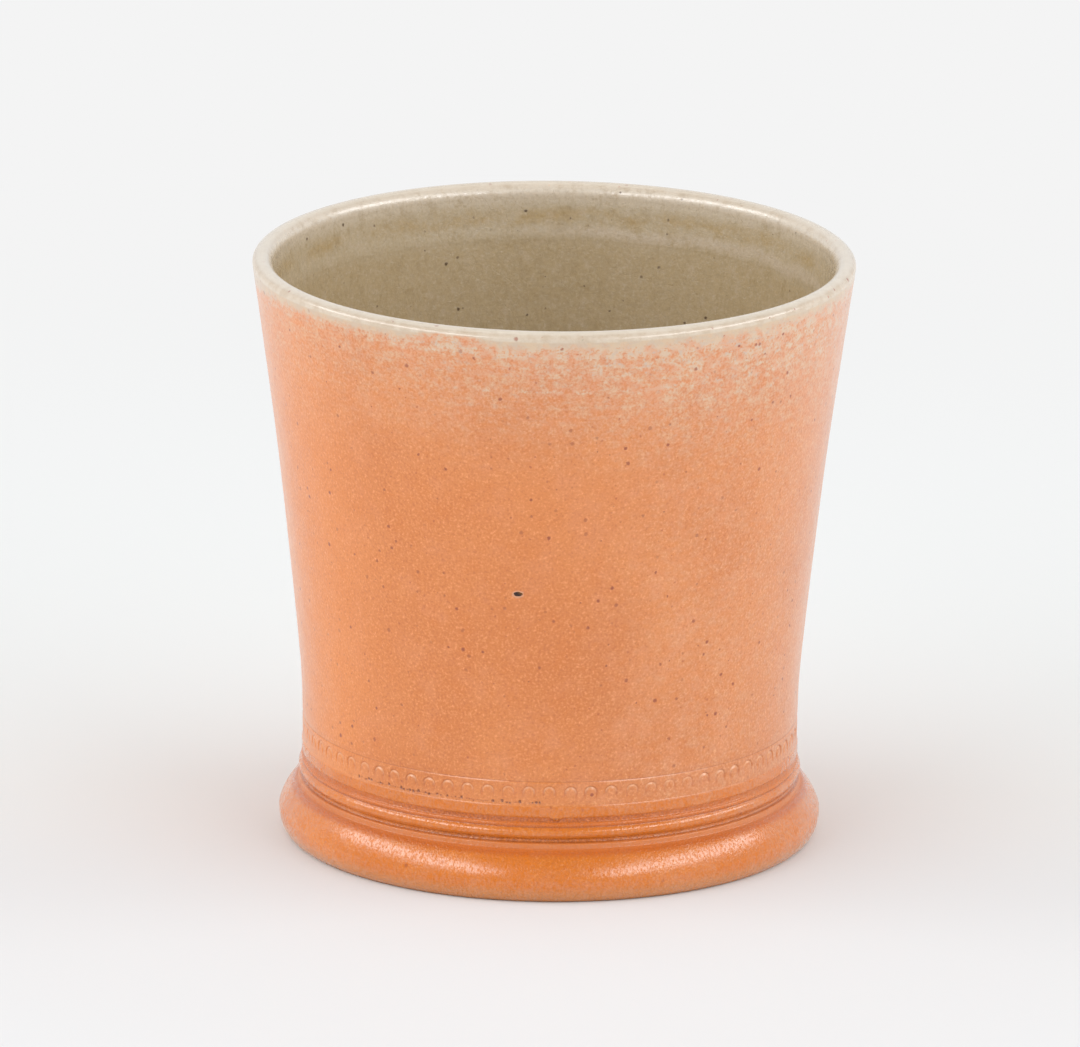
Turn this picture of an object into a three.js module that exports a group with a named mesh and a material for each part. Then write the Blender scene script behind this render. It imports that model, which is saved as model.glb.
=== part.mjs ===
// A salt-glazed stoneware beaker in millimetres, +Z up, with the origin on the surface that
// it stands on, under the middle of its foot. A pot thrown on a wheel is one piece of fired
// clay. Two layers of glass lie on that clay: a pale liner glaze poured inside and over the
// lip, and an orange slip under salt glaze outside. Each of the three is turned on its own.
import * as THREE from "three";

// Overall sizes
const beakerHeight = 96.7;
const rimRadius = 49;
const neckRadius = 40.3;

// The wall is straight, with two soft bends: out of the neck, and wider towards the rim
const lowerBendHeight = 25.2;
const lowerBendSoftness = 6;
const upperBendHeight = 65;
const upperBendSoftness = 8;
const upperBendSteepening = 0.31;

// Clay thicknesses, glazes included
const lipThickness = 3.2;
const lipRise = 1.3;
const neckThickness = 4.7;
const floorHeight = 8.6;
const floorCornerRadius = 15;

// The rounded foot roll and the turned recess under it
const rollRadius = 44.2;
const rollHeight = 3.7;
const rollTop = 8.4;
const rollUpperRoundness = 1.35;
const rollLowerRoundness = 1.9;
const standingRadius = 42.4;
const standingWidth = 6;
const recessDepth = 2.4;
const recessSlope = 1.2;

// The mouldings above the roll, from the fillet up to the incised line
const filletProud = 0.65;
const filletTop = 9.5;
const beadHeight = 10.9;
const beadHalfHeight = 1.15;
const beadProud = 0.62;
const bandBottom = 13.6;
const bandTop = 15.5;
const bandProud = 0.14;
const bandEdge = 0.12;
const incisedHeight = 19.5;
const incisedHalfWidth = 0.28;
const incisedDepth = 0.16;

// The two glass layers, and the gap that keeps each clear of the clay and of the other
const linerThickness = 0.6;
const linerOverlap = 2.6;
const coatThickness = 0.5;
const coatFootClearance = 1;
const bondGap = 0.3;

// Steps round the turning axis, and along each curve
const turnSteps = 56;
const rollSteps = 5;
const beadSteps = 4;
const lipSteps = 6;
const cornerSteps = 5;
const wallSteps = 7;

const stonewareColour = 0xcbb89a;
const linerColour = 0xa3987a;
const coatColour = 0xdc8a50;

const point = (radius, height) => new THREE.Vector2(radius, height);

// How far a straight line has turned at a distance past a soft bend
function bend(past, softness) {
  return (past + Math.hypot(past, softness)) / 2;
}

function flareShape(height) {
  const lower = bend(height - lowerBendHeight, lowerBendSoftness);
  const upper = bend(height - upperBendHeight, upperBendSoftness);
  return lower + upperBendSteepening * upper;
}

// Outer radius of the plain wall at a height
const lipBase = beakerHeight - lipRise;
function wallRadius(height) {
  const share = flareShape(height) / flareShape(lipBase);
  return neckRadius + (rimRadius - neckRadius) * share;
}

// Inner radius, with the wall thinning evenly from the neck up to the lip
function innerRadius(height) {
  const share = (height - rollTop) / (lipBase - rollTop);
  return wallRadius(height) - THREE.MathUtils.lerp(neckThickness, lipThickness, share);
}

// A quarter turn of an ellipse about a centre, fuller or flatter by its roundness: 2 is true
function quarter(centre, reach, rise, roundness, steps) {
  const bulge = (value) => Math.abs(value) ** (2 / roundness);
  return Array.from({ length: steps + 1 }, (_, i) => {
    const turn = (Math.PI / 2) * (i / steps);
    return point(centre.x + reach * bulge(Math.cos(turn)), centre.y + rise * bulge(Math.sin(turn)));
  });
}

// Points of the wall between two heights, by the radius at each
function stretch(radiusAt, from, to, steps) {
  return Array.from({ length: steps + 1 }, (_, i) => {
    const height = THREE.MathUtils.lerp(from, to, i / steps);
    return point(radiusAt(height), height);
  });
}

// The rounded foot, from the edge that it stands on up to the fillet
function rollLine() {
  const below = quarter(
    point(standingRadius, rollHeight), rollRadius - standingRadius, -rollHeight, rollLowerRoundness, rollSteps,
  );
  const filletRadius = wallRadius(rollTop) + filletProud;
  const above = quarter(
    point(filletRadius, rollHeight), rollRadius - filletRadius, rollTop - rollHeight, rollUpperRoundness, rollSteps,
  );
  return [...below.reverse(), ...above.slice(1)];
}

// The round bead, from its lower edge to its upper one
function beadLine() {
  return Array.from({ length: beadSteps + 1 }, (_, i) => {
    const turn = Math.PI * (i / beadSteps - 0.5);
    const height = beadHeight + beadHalfHeight * Math.sin(turn);
    return point(wallRadius(height) + beadProud * Math.cos(turn), height);
  });
}

// The polished band's two edges and its flat face
function bandLine() {
  return [
    point(wallRadius(bandBottom), bandBottom),
    point(wallRadius(bandBottom) + bandProud, bandBottom + bandEdge),
    point(wallRadius(bandTop) + bandProud, bandTop - bandEdge),
    point(wallRadius(bandTop), bandTop),
  ];
}

// The fine line cut above the ornament
function incisedLine() {
  return [
    point(wallRadius(incisedHeight - incisedHalfWidth), incisedHeight - incisedHalfWidth),
    point(wallRadius(incisedHeight) - incisedDepth, incisedHeight),
    point(wallRadius(incisedHeight + incisedHalfWidth), incisedHeight + incisedHalfWidth),
  ];
}

// A line moved to its left by a depth, without the points that fold back where it is hollow
function inset(line, depth) {
  const nearly = depth * 0.97;
  const moved = line.map((here, i) => {
    const before = line[Math.max(i - 1, 0)];
    const after = line[Math.min(i + 1, line.length - 1)];
    const along = after.clone().sub(before).normalize();
    return point(here.x - along.y * depth, here.y + along.x * depth);
  });
  return moved.filter((place) => line.every((here) => place.distanceTo(here) >= nearly));
}

// A profile turned about the upright axis
function turned(name, profile, colour, roughness) {
  const geometry = new THREE.LatheGeometry(profile, turnSteps);
  geometry.rotateX(Math.PI / 2);
  const material = new THREE.MeshStandardMaterial({ color: colour, roughness, metalness: 0 });
  const mesh = new THREE.Mesh(geometry, material);
  mesh.name = name;
  return mesh;
}

// The clay's own outside under the coat, without the fine lines that only the coat shows
const coatTop = beakerHeight - linerOverlap;
const roll = rollLine();
const coveredRoll = roll.filter((place) => place.y > coatFootClearance);
const bareFoot = roll.filter((place) => place.y <= coatFootClearance);
const fillet = point(wallRadius(filletTop) + filletProud, filletTop);
const plainOutside = [
  ...coveredRoll,
  fillet,
  ...beadLine(),
  ...stretch(wallRadius, incisedHeight, coatTop, wallSteps),
];
const finishedOutside = [
  ...coveredRoll,
  fillet,
  ...beadLine(),
  ...bandLine(),
  ...incisedLine(),
  ...stretch(wallRadius, incisedHeight, coatTop, wallSteps).slice(1),
];

// The liner's visible surface, from its edge outside, over the lip and down to the floor
const lipCentre = point(rimRadius - lipThickness / 2, lipBase);
const lipOutside = quarter(lipCentre, lipThickness / 2, lipRise, 2, lipSteps / 2);
const lipInside = quarter(lipCentre, -lipThickness / 2, lipRise, 2, lipSteps / 2);
const cornerTop = floorHeight + floorCornerRadius;
const cornerCentre = point(innerRadius(cornerTop) - floorCornerRadius, cornerTop);
const floorCorner = quarter(cornerCentre, floorCornerRadius, -floorCornerRadius, 2, cornerSteps);
const linerSurface = [
  point(wallRadius(coatTop + bondGap), coatTop + bondGap),
  ...lipOutside,
  ...lipInside.reverse().slice(1),
  ...stretch(innerRadius, lipBase, cornerTop, wallSteps).slice(1),
  ...floorCorner.slice(1),
  point(0, floorHeight),
];

function stonewareBody() {
  const standingInner = standingRadius - standingWidth;
  return turned(
    "stoneware_body",
    [
      point(0, recessDepth),
      point(standingInner - recessSlope, recessDepth),
      point(standingInner, 0),
      ...bareFoot,
      ...inset(plainOutside, coatThickness + bondGap),
      ...inset(linerSurface, linerThickness + bondGap),
    ],
    stonewareColour,
    0.8,
  );
}

function linerGlaze() {
  const back = inset(linerSurface, linerThickness).reverse();
  return turned("liner_glaze", [...back, ...linerSurface], linerColour, 0.25);
}

function saltGlazeCoat() {
  const back = inset(plainOutside, coatThickness).reverse();
  return turned("salt_glaze_coat", [...finishedOutside, ...back, finishedOutside[0]], coatColour, 0.35);
}

const beaker = new THREE.Group();
beaker.add(stonewareBody(), linerGlaze(), saltGlazeCoat());

export default beaker;
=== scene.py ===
"""A salt-glazed stoneware beaker, dressed for the camera: turned clay, liner glaze and salt glaze.

Lengths are in millimetres while a shape is worked out, and become metres in its mesh.
"""
import math

import bpy
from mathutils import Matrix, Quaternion, Vector


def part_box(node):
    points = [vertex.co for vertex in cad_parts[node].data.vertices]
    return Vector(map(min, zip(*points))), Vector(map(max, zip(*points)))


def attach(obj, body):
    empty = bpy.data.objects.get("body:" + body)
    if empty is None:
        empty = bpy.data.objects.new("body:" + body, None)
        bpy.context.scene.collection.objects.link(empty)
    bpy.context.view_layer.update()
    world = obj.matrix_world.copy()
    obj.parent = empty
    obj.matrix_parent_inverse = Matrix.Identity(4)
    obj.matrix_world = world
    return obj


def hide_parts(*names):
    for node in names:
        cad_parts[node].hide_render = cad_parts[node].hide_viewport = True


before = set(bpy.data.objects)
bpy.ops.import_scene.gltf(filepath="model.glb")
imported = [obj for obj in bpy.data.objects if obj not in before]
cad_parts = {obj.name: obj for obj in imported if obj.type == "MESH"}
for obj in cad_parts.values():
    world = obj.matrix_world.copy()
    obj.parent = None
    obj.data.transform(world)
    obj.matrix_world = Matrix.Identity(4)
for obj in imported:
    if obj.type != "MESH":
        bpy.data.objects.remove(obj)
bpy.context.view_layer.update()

MM = 0.001
FULL_TURN = 2 * math.pi

# Overall sizes, read from the frame
LINER_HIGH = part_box("liner_glaze")[1]
COAT_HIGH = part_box("salt_glaze_coat")[1]
BEAKER_HEIGHT = LINER_HIGH.z / MM
RIM_RADIUS = LINER_HIGH.x / MM
SEAM_LAP = 0.15
SEAM_HEIGHT = COAT_HIGH.z / MM + SEAM_LAP

# The wall is straight, with two soft bends: out of the neck, and wider towards the rim
NECK_RADIUS = 40.3
LOWER_BEND_HEIGHT = 25.2
LOWER_BEND_SOFTNESS = 6.0
UPPER_BEND_HEIGHT = 65.0
UPPER_BEND_SOFTNESS = 8.0
UPPER_BEND_STEEPENING = 0.31

# Clay thicknesses, glazes included
LIP_THICKNESS = 3.2
LIP_RISE = 1.3
LIP_BASE = BEAKER_HEIGHT - LIP_RISE
LIP_INNER_DROP = 2.5
LIP_INNER_STEPS = 15
NECK_THICKNESS = 4.7
FLOOR_HEIGHT = 8.6
FLOOR_CORNER_RADIUS = 15.0
RING_HEIGHT = 88.1
RING_HALF_HEIGHT = 1.5
RING_PROUD = 0.04
RING_ZONE_BOTTOM = 84.0

# The foot roll, and the standing ring and recess under it
ROLL_RADIUS = 44.2
ROLL_HEIGHT = 3.7
ROLL_TOP = 8.4
ROLL_UPPER_ROUNDNESS = 1.35
ROLL_LOWER_ROUNDNESS = 1.9
STANDING_RADIUS = 42.4
STANDING_WIDTH = 6.0
RECESS_DEPTH = 2.4
RECESS_SLOPE = 1.2
COAT_FOOT_CLEARANCE = 0.25

# Mouldings above the roll: where each lies, and how far it stands proud of the wall
FILLET_TOP = 9.3
FILLET_PROUD = 0.72
FILLET_TAPER = 0.1
BEAD_HEIGHT = 10.9
BEAD_HALF_HEIGHT = 1.0
BEAD_PROUD = 0.62
RIDGE_HEIGHT = 12.3
RIDGE_HALF_HEIGHT = 0.36
RIDGE_PROUD = 0.26
GROOVE_BOTTOM = 12.66
GROOVE_TOP = 13.45
GROOVE_DEPTH = 0.14
BAND_BOTTOM = 13.55
BAND_TOP = 15.5
BAND_PROUD = 0.13
BAND_EDGE = 0.16
INCISED_HEIGHT = 19.5
INCISED_HALF_WIDTH = 0.2
INCISED_DEPTH = 0.16
EDGE_SOFTNESS = 0.09

# A drop of glass that hangs from the band's lower edge, with its angle from the front
DRIP_ANGLE = 1.6
DRIP_WIDTH = 2.6
DRIP_DROP = 0.55

# The rolled arcade of small arches, and the burst pits under it
ARCH_COUNT = 75
ARCH_RADIUS = 0.98
ARCH_CENTRE_HEIGHT = 17.65
ARCH_OUTER_WIDTH = 0.2
ARCH_INNER_WIDTH = 0.46
ARCH_DEPTH = 0.28
ARCH_STEPS = 27
ARCHES_BOTTOM = 16.2
ARCHES_TOP = 18.95
PIT_ROW_HEIGHT = 15.95
PIT_SPACING = 0.7
PIT_DEPTH = 0.2
PIT_SHARE = 0.66
PIT_FIRST_ANGLE = -52.0
PIT_LAST_ANGLE = -2.0

# The iron spot on the wall, with its angle from the front
SPOT_ANGLE = -7.1
SPOT_HEIGHT = 51.7
SPOT_HALF_WIDTH = 0.72
SPOT_HALF_HEIGHT = 0.42
SPOT_RISE = 0.16
SPOT_ROOT = 0.2

# How deep the glass layers reach behind their own surfaces, and how deep the clay begins
GLASS_DEPTH = 0.4
CLAY_DEPTH = 0.3

# How much clear glass covers the satin wall and the foot, and how rough it is
WALL_COAT = 0.78
FOOT_COAT = 1.0
COAT_ROUGHNESS = 0.21

# The waves that the potter's fingers left round the walls, and the spiral on the floor
WAVE_TOP = 93.0
WALL_WAVE_DEPTH = 0.05
LINER_WAVE_DEPTH = 0.14
SPIRAL_RISE = 0.22

# How finely the pieces are divided, round the pot and up the wall
TURN_STEPS = 480
ARCADE_TURN_STEPS = ARCH_COUNT * ARCH_STEPS
FOOT_TURN_STEPS = 600
CLAY_TURN_STEPS = 240
WALL_SPACING = 0.8
SHARP_EDGE = 0.9
EASING_STEP = 0.04


def bend(past, softness):
    """How far a straight line has turned at a distance past a soft bend."""
    return (past + math.hypot(past, softness)) / 2


def flare_shape(height):
    lower = bend(height - LOWER_BEND_HEIGHT, LOWER_BEND_SOFTNESS)
    upper = bend(height - UPPER_BEND_HEIGHT, UPPER_BEND_SOFTNESS)
    return lower + UPPER_BEND_STEEPENING * upper


def wall_radius(height):
    share = flare_shape(height) / flare_shape(LIP_BASE)
    return NECK_RADIUS + (RIM_RADIUS - NECK_RADIUS) * share


def inner_radius(height):
    share = (height - ROLL_TOP) / (LIP_BASE - ROLL_TOP)
    thickness = NECK_THICKNESS + (LIP_THICKNESS - NECK_THICKNESS) * share
    return wall_radius(height) - thickness


def steps(low, high, spacing):
    """Values from low to high, evenly spaced and no further apart than the spacing."""
    count = max(1, math.ceil(abs(high - low) / spacing))
    return [low + (high - low) * i / count for i in range(count + 1)]


def quarter(centre, reach, rise, roundness, count):
    """A quarter turn of an ellipse about a centre, fuller or flatter by its roundness."""
    line = []
    for i in range(count + 1):
        turn = math.pi / 2 * i / count
        out = abs(math.cos(turn)) ** (2 / roundness)
        up = abs(math.sin(turn)) ** (2 / roundness)
        line.append((centre[0] + reach * out, centre[1] + rise * up))
    return line


def hump(height, centre, half):
    """A rounded hump across a moulding, from 0 at its edges to 1 at its middle."""
    away = abs(height - centre) / half
    return math.cos(math.pi / 2 * away) ** 0.8 if away < 1 else 0.0


def sharp_moulding(height):
    """How far the turned mouldings stand proud of the plain wall, with crisp edges."""
    if height <= FILLET_TOP:
        return FILLET_PROUD - FILLET_TAPER * (height - ROLL_TOP) / (FILLET_TOP - ROLL_TOP)
    proud = BEAD_PROUD * hump(height, BEAD_HEIGHT, BEAD_HALF_HEIGHT)
    proud += RIDGE_PROUD * hump(height, RIDGE_HEIGHT, RIDGE_HALF_HEIGHT)
    if GROOVE_BOTTOM < height < GROOVE_TOP:
        proud -= GROOVE_DEPTH
    from_edge = min(height - BAND_BOTTOM, BAND_TOP - height)
    proud += BAND_PROUD * min(1.0, max(0.0, from_edge / BAND_EDGE))
    from_cut = abs(height - INCISED_HEIGHT) / INCISED_HALF_WIDTH
    return proud - INCISED_DEPTH * max(0.0, 1 - from_cut)


def moulding(height):
    """The mouldings as the glaze leaves them, with softened edges."""
    total, weight = 0.0, 0.0
    for i in range(-6, 7):
        share = math.exp(-((i / 3) ** 2))
        total += share * sharp_moulding(height + i / 3 * EDGE_SOFTNESS)
        weight += share
    return total / weight


def outside(low, high, spacing):
    """The finished outer wall between two heights, mouldings included."""
    return [(wall_radius(h) + moulding(h), h) for h in steps(low, high, spacing)]


def roll_line():
    """The rounded foot, from the edge that it stands on up to the fillet's foot."""
    fillet = wall_radius(ROLL_TOP) + FILLET_PROUD
    low_reach, high_reach = ROLL_RADIUS - STANDING_RADIUS, ROLL_RADIUS - fillet
    below = quarter((STANDING_RADIUS, ROLL_HEIGHT), low_reach, -ROLL_HEIGHT, ROLL_LOWER_ROUNDNESS, 24)
    rise = ROLL_TOP - ROLL_HEIGHT
    above = quarter((fillet, ROLL_HEIGHT), high_reach, rise, ROLL_UPPER_ROUNDNESS, 30)
    return below[::-1] + above[1:]


def softened(line, reach, spacing):
    """A line with its corners eased over a reach, and evenly spaced points."""
    fine = [Vector(line[0])]
    for point in line[1:]:
        start, end = fine[-1].copy(), Vector(point)
        count = max(1, round((end - start).length / EASING_STEP))
        fine += [start.lerp(end, (i + 1) / count) for i in range(count)]
    near = round(reach / EASING_STEP)
    eased = []
    for i in range(len(fine)):
        half = min(near * 2, i, len(fine) - 1 - i)
        total, weight = Vector((0.0, 0.0)), 0.0
        for j in range(-half, half + 1):
            share = math.exp(-((j / near) ** 2))
            total += fine[i + j] * share
            weight += share
        eased.append(total / weight)
    kept = [eased[0]]
    for point in eased[1:-1]:
        if (point - kept[-1]).length >= spacing:
            kept.append(point)
    if (eased[-1] - kept[-1]).length < spacing / 2:
        kept.pop()
    kept.append(eased[-1])
    return [(point.x, point.y) for point in kept]


def inset(line, depth):
    """A line moved to its left by a depth, without the points that fold back in a hollow."""
    moved = []
    for i, here in enumerate(line):
        before = Vector(line[max(i - 1, 0)])
        after = Vector(line[min(i + 1, len(line) - 1)])
        along = (after - before).normalized()
        place = Vector((here[0] - along.y * depth, here[1] + along.x * depth))
        if all((place - Vector(other)).length >= depth * 0.97 for other in line):
            moved.append((place.x, place.y))
    return moved


def thinned(line, keep_every):
    """Every few points of a line, with both its ends."""
    return line[:-1:keep_every] + line[-1:]


def is_vector(value):
    return isinstance(value, tuple) or isinstance(value, Signal) and value.socket.type in ("VECTOR", "RGBA")


class Signal:
    """What a node gives out. Arithmetic, a ramp or noise on it adds the nodes that work it out."""

    def __init__(self, wiring, socket):
        self.wiring = wiring
        self.socket = socket

    def __add__(self, other):
        return self.wiring.math("ADD", self, other)

    def __sub__(self, other):
        return self.wiring.math("SUBTRACT", self, other)

    def __rsub__(self, other):
        return self.wiring.math("SUBTRACT", other, self)

    def __mul__(self, other):
        return self.wiring.math("MULTIPLY", self, other)

    def __truediv__(self, other):
        return self.wiring.math("DIVIDE", self, other)

    def __rtruediv__(self, other):
        return self.wiring.math("DIVIDE", other, self)

    def __neg__(self):
        return self * -1.0

    def __abs__(self):
        return self.wiring.math("ABSOLUTE", self)

    def ramp(self, low, high, to_low=0.0, to_high=1.0):
        """A smooth change between two levels of this value."""
        inputs = {"Value": self, "From Min": low, "From Max": high, "To Min": to_low, "To Max": to_high}
        return self.wiring.give("ShaderNodeMapRange", inputs, interpolation_type="SMOOTHSTEP")

    def noise(self, size, detail=2.0, roughness=0.5, output=0):
        """Smooth noise at this place, in lumps about a size across."""
        inputs = {"Vector": self, "Scale": 1 / size, "Detail": detail, "Roughness": roughness}
        return self.wiring.give("ShaderNodeTexNoise", inputs, output, noise_dimensions="3D")


class Wiring:
    """A node tree under construction: each method adds nodes and gives what comes out of them."""

    def __init__(self, tree, result=()):
        self.tree = tree
        self.result = result

    def feed(self, socket, value):
        value = getattr(value, "socket", value)
        if isinstance(value, bpy.types.NodeSocket):
            self.tree.links.new(value, socket)
        else:
            socket.default_value = value

    def node(self, kind, inputs=None, **settings):
        made = self.tree.nodes.new(kind)
        for name, value in settings.items():
            setattr(made, name, value)
        for key, value in (inputs or {}).items():
            self.feed(made.inputs[key], value)
        return made

    def give(self, kind, inputs=None, output=0, **settings):
        return Signal(self, self.node(kind, inputs, **settings).outputs[output])

    def math(self, operation, *values):
        """Arithmetic on numbers or on vectors, whichever the values are."""
        vectors = [is_vector(value) for value in values]
        if operation == "MULTIPLY" and vectors == [True, False]:
            return self.give("ShaderNodeVectorMath", {0: values[0], "Scale": values[1]}, operation="SCALE")
        kind = "ShaderNodeVectorMath" if any(vectors) else "ShaderNodeMath"
        return self.give(kind, dict(enumerate(values)), operation=operation)

    def larger(self, first, second):
        return self.math("MAXIMUM", first, second)

    def reach(self, vector):
        return self.give("ShaderNodeVectorMath", {0: vector}, "Value", operation="LENGTH")

    def diagonal(self, across, upward):
        """The length of a line from its run and its rise."""
        return self.math("SQRT", across * across + upward * upward)

    def split(self, vector):
        made = self.node("ShaderNodeSeparateXYZ", {0: vector})
        return [Signal(self, socket) for socket in made.outputs]

    def joined(self, x, y, z):
        return self.give("ShaderNodeCombineXYZ", {0: x, 1: y, 2: z})

    def between(self, share, first, second):
        """A number that goes evenly from one value to another by a share."""
        return self.give("ShaderNodeMapRange", {"Value": share, "To Min": first, "To Max": second})

    def blend(self, share, first, second):
        """Two colours mixed by a share."""
        inputs = {0: share, 6: first, 7: second}
        return self.give("ShaderNodeMix", inputs, 2, data_type="RGBA", blend_type="MIX", clamp_factor=True)

    def layered(self, colour, *coats):
        """A colour under further ones in turn, each with the share of it that shows."""
        for share, tint in coats:
            colour = self.blend(share, colour, tint)
        return colour

    def mark(self, name):
        """A number that the mesh's own points carry."""
        if self.tree.type == "GEOMETRY":
            return self.give("GeometryNodeInputNamedAttribute", {"Name": name}, data_type="FLOAT")
        return self.give("ShaderNodeAttribute", None, "Fac", attribute_name=name)

    def marked(self, mesh, marks):
        """A mesh whose points carry further numbers."""
        for name, value in marks.items():
            inputs = {"Geometry": mesh, "Name": name, "Value": value}
            mesh = self.give("GeometryNodeStoreNamedAttribute", inputs, data_type="FLOAT", domain="POINT")
        return mesh

    def group(self, tree, **inputs):
        """A node group's one output, or its list of outputs."""
        made = self.node("ShaderNodeGroup", node_tree=tree)
        for key, value in inputs.items():
            self.feed(made.inputs[key], value)
        outputs = [Signal(self, socket) for socket in made.outputs]
        return outputs if len(outputs) > 1 else outputs[0]

    def hand_over(self, *values):
        """Ends a node group with its outputs in order, and hands the tree over."""
        for socket, value in zip(self.result, values):
            self.feed(socket, value)
        return self.tree

    def dressed(self, mesh, glaze):
        """Ends a tree that shapes a piece: one real mesh, in its material."""
        real = self.give("GeometryNodeRealizeInstances", {"Geometry": mesh})
        return self.hand_over(self.give("GeometryNodeSetMaterial", {"Geometry": real, "Material": glaze}))


FLOAT, VECTOR, COLOUR = "NodeSocketFloat", "NodeSocketVector", "NodeSocketColor"
GEOMETRY, INTEGER, MATERIAL = "NodeSocketGeometry", "NodeSocketInt", "NodeSocketMaterial"


def new_tree(name, kind, inputs, outputs):
    """A node group's wiring and inputs. Each input is a kind of socket, or the number it starts at."""
    tree = bpy.data.node_groups.new(name, kind)
    number_kinds = {float: FLOAT, int: INTEGER}
    for direction, sockets in (("INPUT", inputs), ("OUTPUT", outputs)):
        for label, what in sockets.items():
            kind_of_socket = number_kinds.get(type(what), what)
            socket = tree.interface.new_socket(name=label, in_out=direction, socket_type=kind_of_socket)
            if type(what) in number_kinds:
                socket.default_value = what
    start = tree.nodes.new("NodeGroupInput")
    wiring = Wiring(tree, tree.nodes.new("NodeGroupOutput").inputs)
    return wiring, {label: Signal(wiring, start.outputs[label]) for label in inputs}


def slip(value, reach):
    """A shift either way, out of a chance value from 0 to 1."""
    return (value - ((0.5, 0.5, 0.5) if is_vector(value) else 0.5)) * reach


def turning_tree():
    """Turns a profile about the upright axis, with the soft waves and spiral that fingers leave."""
    wiring, given = new_tree(
        "turned_on_the_wheel",
        "GeometryNodeTree",
        {
            "Profile": GEOMETRY,
            "Turn Steps": TURN_STEPS,
            "Wave Depth": 0.0,
            "Wave Height": 5.0 * MM,
            "Wave Bottom": 0.0,
            "Wave Top": 90.0 * MM,
            "Wave Fade": 5.0 * MM,
            "Spiral Rise": 0.0,
            "Spiral Pitch": 3.4 * MM,
            "Glaze": MATERIAL,
        },
        {"Piece": GEOMETRY},
    )
    profile = given["Profile"]
    position = wiring.give("GeometryNodeInputPosition")
    shape = {"Geometry": profile}
    count = wiring.give("GeometryNodeAttributeDomainSize", shape, "Point Count", component="MESH")
    columns = given["Turn Steps"] + 1
    grid = {"Size X": 1.0, "Size Y": 1.0, "Vertices X": columns, "Vertices Y": count}
    sheet = wiring.give("GeometryNodeMeshGrid", grid, "Mesh")
    across, along, _ = wiring.split(position)
    angle = (across + 0.5) * FULL_TURN
    step = wiring.math("ROUND", (along + 0.5) * (count - 1))

    def at_step(value, data_type):
        inputs = {"Geometry": profile, "Value": value, "Index": step}
        return wiring.give("GeometryNodeSampleIndex", inputs, data_type=data_type)

    radius, _, height = wiring.split(at_step(position, "FLOAT_VECTOR"))
    marks = {name: at_step(wiring.mark(name), "FLOAT") for name in ("front", "lining")}

    sine, cosine = wiring.math("SINE", angle), wiring.math("COSINE", angle)
    bottom, top, fade = given["Wave Bottom"], given["Wave Top"], given["Wave Fade"]
    wave = wiring.joined(sine * 0.35, cosine * 0.35, height / given["Wave Height"]).noise(1.0, 1.0)
    inside_window = height.ramp(bottom, bottom + fade) * height.ramp(top, top - fade)
    dent = wave * given["Wave Depth"] * inside_window * marks["front"]
    true_radius = wiring.larger(radius - dent, 0.0) * wiring.math("GREATER_THAN", radius, 1e-7)

    turns_out = angle + radius / given["Spiral Pitch"] * FULL_TURN
    near_middle = radius.ramp(27.0 * MM, 20.0 * MM) * radius.ramp(0.5 * MM, 4.0 * MM)
    spiral = wiring.math("SINE", turns_out) * near_middle * given["Spiral Rise"]
    true_height = height + spiral * marks["lining"]

    turned_place = wiring.joined(true_radius * sine, true_radius * -cosine, true_height)
    marked = wiring.marked(sheet, marks)
    shaped = wiring.give("GeometryNodeSetPosition", {"Geometry": marked, "Position": turned_place})
    closed = wiring.give("GeometryNodeMergeByDistance", {"Geometry": shaped, "Distance": 1e-6})
    shown = wiring.math("GREATER_THAN", wiring.mark("front"), 0.99)
    edge_turn = wiring.give("GeometryNodeInputMeshEdgeAngle", None, "Unsigned Angle")
    soft_edge = wiring.math("LESS_THAN", edge_turn, SHARP_EDGE)
    for domain, smooth in (("FACE", shown), ("EDGE", soft_edge)):
        inputs = {"Geometry": closed, "Shade Smooth": smooth}
        closed = wiring.give("GeometryNodeSetShadeSmooth", inputs, domain=domain)
    return wiring.dressed(closed, given["Glaze"])


def around_pot(wiring):
    """A mesh point's height, its angle from the front, its radius, and the way outward."""
    x, y, z = wiring.split(wiring.give("GeometryNodeInputPosition"))
    outward = wiring.math("NORMALIZE", wiring.joined(x, y, 0.0))
    return z, wiring.math("ARCTAN2", x, -y), wiring.diagonal(x, y), outward


def luck_of(wiring, number):
    """Three chance numbers from 0 to 1 for a numbered thing."""
    return wiring.split(wiring.give("ShaderNodeTexWhiteNoise", {"W": number}, "Color", noise_dimensions="1D"))


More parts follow.
